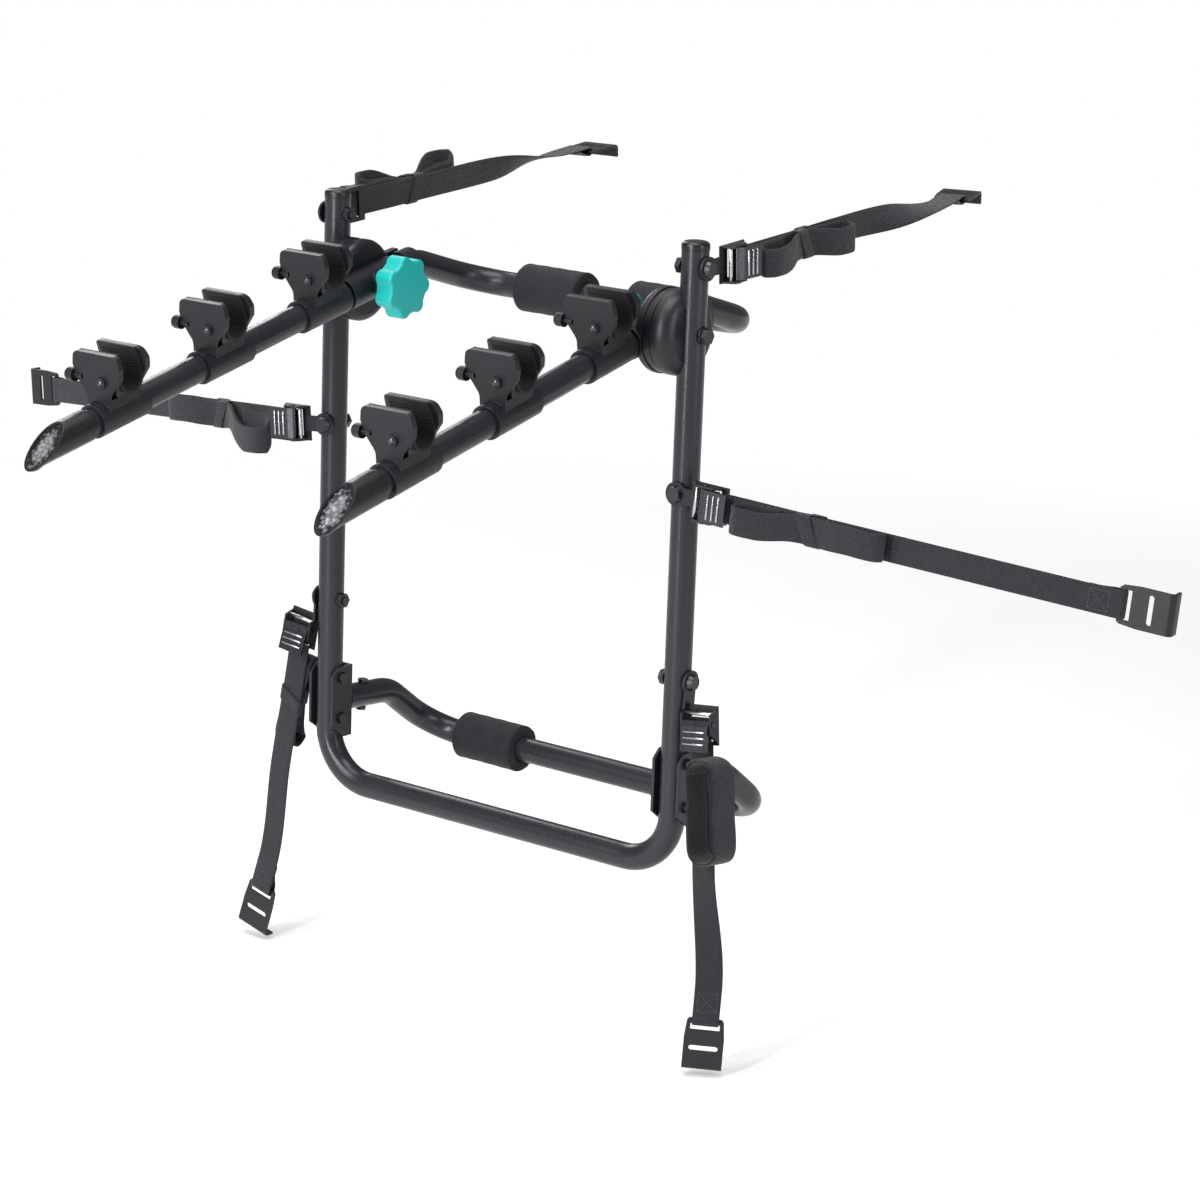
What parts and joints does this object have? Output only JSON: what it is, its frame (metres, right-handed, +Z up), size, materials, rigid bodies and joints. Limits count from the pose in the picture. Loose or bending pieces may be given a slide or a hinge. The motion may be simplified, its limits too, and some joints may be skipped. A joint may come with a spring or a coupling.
{
  "type": "strap-on car bike rack",
  "caption": "Rear strap-on car rack for bicycles: bent tube frame, folding arms with tube cradles, two spacer bars with foam pads, and webbing straps with hooks.",
  "frame": {"origin": "the middle of the line where the two lower foam pads rest on the car", "axes": "+X across the rack, the longest way; +Y towards the car; +Z up along the main frame"},
  "size_m": [1.3618, 0.893, 0.7699],
  "materials": {
    "tube": "dark grey powder coat, satin",
    "hub": "black moulded nylon, satin",
    "bracket": "dark grey powder coat, satin",
    "plastic": "black moulded plastic, satin",
    "cradle": "black moulded nylon, satin",
    "liner": "dark grey soft rubber",
    "knob": "teal moulded plastic, satin",
    "reflector": "clear prismatic reflector, glossy",
    "foam": "black closed-cell foam, matt",
    "webbing": "black woven webbing",
    "strap_steel": "black coated steel, satin",
    "chrome": "black coated steel, satin",
    "fastener": "black zinc, satin"
  },
  "bodies": {
    "frame": {"main_frame": "tube", "upright_caps": "plastic", "hub_cap_left": "hub", "hub_cap_right": "hub", "hub_bolts": "fastener", "lower_brackets": "bracket", "bracket_bolts": "fastener", "lower_spacer_bar": "tube", "lower_pads": "foam", "strap_bolts": "fastener", "strap_nuts": "fastener"},
    "upper_spacer": {"upper_spacer_bar": "tube", "spacer_hub_left": "hub", "spacer_hub_right": "hub", "upper_pads": "foam"},
    "arm_left": {"arm_tube_left": "tube", "arm_hub_left": "hub", "arm_end_left": "plastic", "reflector_left": "reflector", "cradle_left_1": "cradle", "cradle_left_2": "cradle", "cradle_left_3": "cradle", "cradle_liners_left": "liner", "cradle_studs_left": "cradle"},
    "knob_left": {"knob_left": "knob"},
    "arm_right": {"arm_tube_right": "tube", "arm_hub_right": "hub", "arm_end_right": "plastic", "reflector_right": "reflector", "cradle_right_1": "cradle", "cradle_right_2": "cradle", "cradle_right_3": "cradle", "cradle_liners_right": "liner", "cradle_studs_right": "cradle"},
    "knob_right": {"knob_right": "knob"},
    "strap_upper_left": {"strap_buckle_upper_left": "strap_steel", "strap_webbing_upper_left": "webbing"},
    "lever_upper_left": {"strap_lever_upper_left": "chrome"},
    "hook_upper_left": {"strap_hook_upper_left": "strap_steel"},
    "strap_upper_right": {"strap_buckle_upper_right": "strap_steel", "strap_webbing_upper_right": "webbing"},
    "lever_upper_right": {"strap_lever_upper_right": "chrome"},
    "hook_upper_right": {"strap_hook_upper_right": "strap_steel"},
    "strap_side_left": {"strap_buckle_side_left": "strap_steel", "strap_webbing_side_left": "webbing"},
    "lever_side_left": {"strap_lever_side_left": "chrome"},
    "hook_side_left": {"strap_hook_side_left": "strap_steel"},
    "strap_side_right": {"strap_buckle_side_right": "strap_steel", "strap_webbing_side_right": "webbing"},
    "lever_side_right": {"strap_lever_side_right": "chrome"},
    "hook_side_right": {"strap_hook_side_right": "strap_steel"},
    "strap_lower_left": {"strap_buckle_lower_left": "strap_steel", "strap_webbing_lower_left": "webbing"},
    "lever_lower_left": {"strap_lever_lower_left": "chrome"},
    "hook_lower_left": {"strap_hook_lower_left": "strap_steel"},
    "strap_lower_right": {"strap_buckle_lower_right": "strap_steel", "strap_webbing_lower_right": "webbing"},
    "lever_lower_right": {"strap_lever_lower_right": "chrome"},
    "hook_lower_right": {"strap_hook_lower_right": "strap_steel"}
  },
  "joints": [
    {"name": "upper_spacer_fold", "type": "hinge", "parent": "frame", "child": "upper_spacer", "pos_m": [0, -0.1783, 0.4799], "axis": [1, 0, 0], "range_deg": [-30, 70]},
    {"name": "arm_fold_left", "type": "hinge", "parent": "frame", "child": "arm_left", "pos_m": [-0.1671, -0.1783, 0.4799], "axis": [1, 0, 0], "range_deg": [-30, 77]},
    {"name": "knob_turn_left", "type": "hinge", "parent": "frame", "child": "knob_left", "pos_m": [-0.13, -0.1783, 0.4799], "axis": [1, 0, 0], "continuous": true},
    {"name": "arm_fold_right", "type": "hinge", "parent": "frame", "child": "arm_right", "pos_m": [0.1671, -0.1783, 0.4799], "axis": [1, 0, 0], "range_deg": [-30, 77]},
    {"name": "knob_turn_right", "type": "hinge", "parent": "frame", "child": "knob_right", "pos_m": [0.13, -0.1783, 0.4799], "axis": [1, 0, 0], "continuous": true},
    {"name": "strap_swing_upper_left", "type": "hinge", "parent": "frame", "child": "strap_upper_left", "pos_m": [-0.223, -0.1783, 0.54], "axis": [1, 0, 0], "range_deg": [-45, 75]},
    {"name": "lever_open_upper_left", "type": "hinge", "parent": "strap_upper_left", "child": "lever_upper_left", "pos_m": [-0.23265, -0.1444, 0.54264], "axis": [0, -0.0778, 0.997], "range_deg": [0, 80]},
    {"name": "hook_swing_upper_left", "type": "hinge", "parent": "strap_upper_left", "child": "hook_upper_left", "pos_m": [-0.22668, 0.21876, 0.56716], "axis": [0.9929, 0.1191, 0], "range_deg": [-60, 60]},
    {"name": "strap_swing_upper_right", "type": "hinge", "parent": "frame", "child": "strap_upper_right", "pos_m": [0.223, -0.1783, 0.54], "axis": [1, 0, 0], "range_deg": [-45, 75]},
    {"name": "lever_open_upper_right", "type": "hinge", "parent": "strap_upper_right", "child": "lever_upper_right", "pos_m": [0.23265, -0.1444, 0.54264], "axis": [0, 0.0778, -0.997], "range_deg": [0, 80]},
    {"name": "hook_swing_upper_right", "type": "hinge", "parent": "strap_upper_right", "child": "hook_upper_right", "pos_m": [0.22657, 0.21874, 0.56716], "axis": [0.9524, 0.3048, 0], "range_deg": [-60, 60]},
    {"name": "strap_swing_side_left", "type": "hinge", "parent": "frame", "child": "strap_side_left", "pos_m": [-0.21, -0.1913, 0.337], "axis": [0, 1, 0], "range_deg": [-45, 45]},
    {"name": "lever_open_side_left", "type": "hinge", "parent": "strap_side_left", "child": "lever_side_left", "pos_m": [-0.24471, -0.19871, 0.33418], "axis": [-0.081, 0, 0.9967], "range_deg": [0, 80]},
    {"name": "hook_swing_side_left", "type": "hinge", "parent": "strap_side_left", "child": "hook_side_left", "pos_m": [-0.63347, -0.13553, 0.30261], "axis": [-0.081, 0, 0.9967], "range_deg": [-60, 60]},
    {"name": "strap_swing_side_right", "type": "hinge", "parent": "frame", "child": "strap_side_right", "pos_m": [0.21, -0.1913, 0.337], "axis": [0, 1, 0], "range_deg": [-45, 45]},
    {"name": "lever_open_side_right", "type": "hinge", "parent": "strap_side_right", "child": "lever_side_right", "pos_m": [0.24471, -0.19871, 0.33418], "axis": [-0.081, 0, -0.9967], "range_deg": [0, 80]},
    {"name": "hook_swing_side_right", "type": "hinge", "parent": "strap_side_right", "child": "hook_side_right", "pos_m": [0.63347, -0.13553, 0.30261], "axis": [-0.081, 0, -0.9967], "range_deg": [-60, 60]},
    {"name": "strap_swing_lower_left", "type": "hinge", "parent": "frame", "child": "strap_lower_left", "pos_m": [-0.223, -0.1783, 0.162], "axis": [1, 0, 0], "range_deg": [-35, 35]},
    {"name": "lever_open_lower_left", "type": "hinge", "parent": "strap_lower_left", "child": "lever_lower_left", "pos_m": [-0.2421, -0.18924, 0.12897], "axis": [-0.9927, 0, 0.1209], "range_deg": [0, 80]},
    {"name": "hook_swing_lower_left", "type": "hinge", "parent": "strap_lower_left", "child": "hook_lower_left", "pos_m": [-0.27563, -0.20034, -0.14594], "axis": [-0.9695, 0, 0.2449], "range_deg": [-60, 60]},
    {"name": "strap_swing_lower_right", "type": "hinge", "parent": "frame", "child": "strap_lower_right", "pos_m": [0.223, -0.1783, 0.162], "axis": [1, 0, 0], "range_deg": [-35, 35]},
    {"name": "lever_open_lower_right", "type": "hinge", "parent": "strap_lower_right", "child": "lever_lower_right", "pos_m": [0.2421, -0.18924, 0.12897], "axis": [-0.9927, 0, -0.1209], "range_deg": [0, 80]},
    {"name": "hook_swing_lower_right", "type": "hinge", "parent": "strap_lower_right", "child": "hook_lower_right", "pos_m": [0.27346, -0.20098, -0.14592], "axis": [-0.8327, -0.5518, 0.045], "range_deg": [-60, 60]}
  ]
}
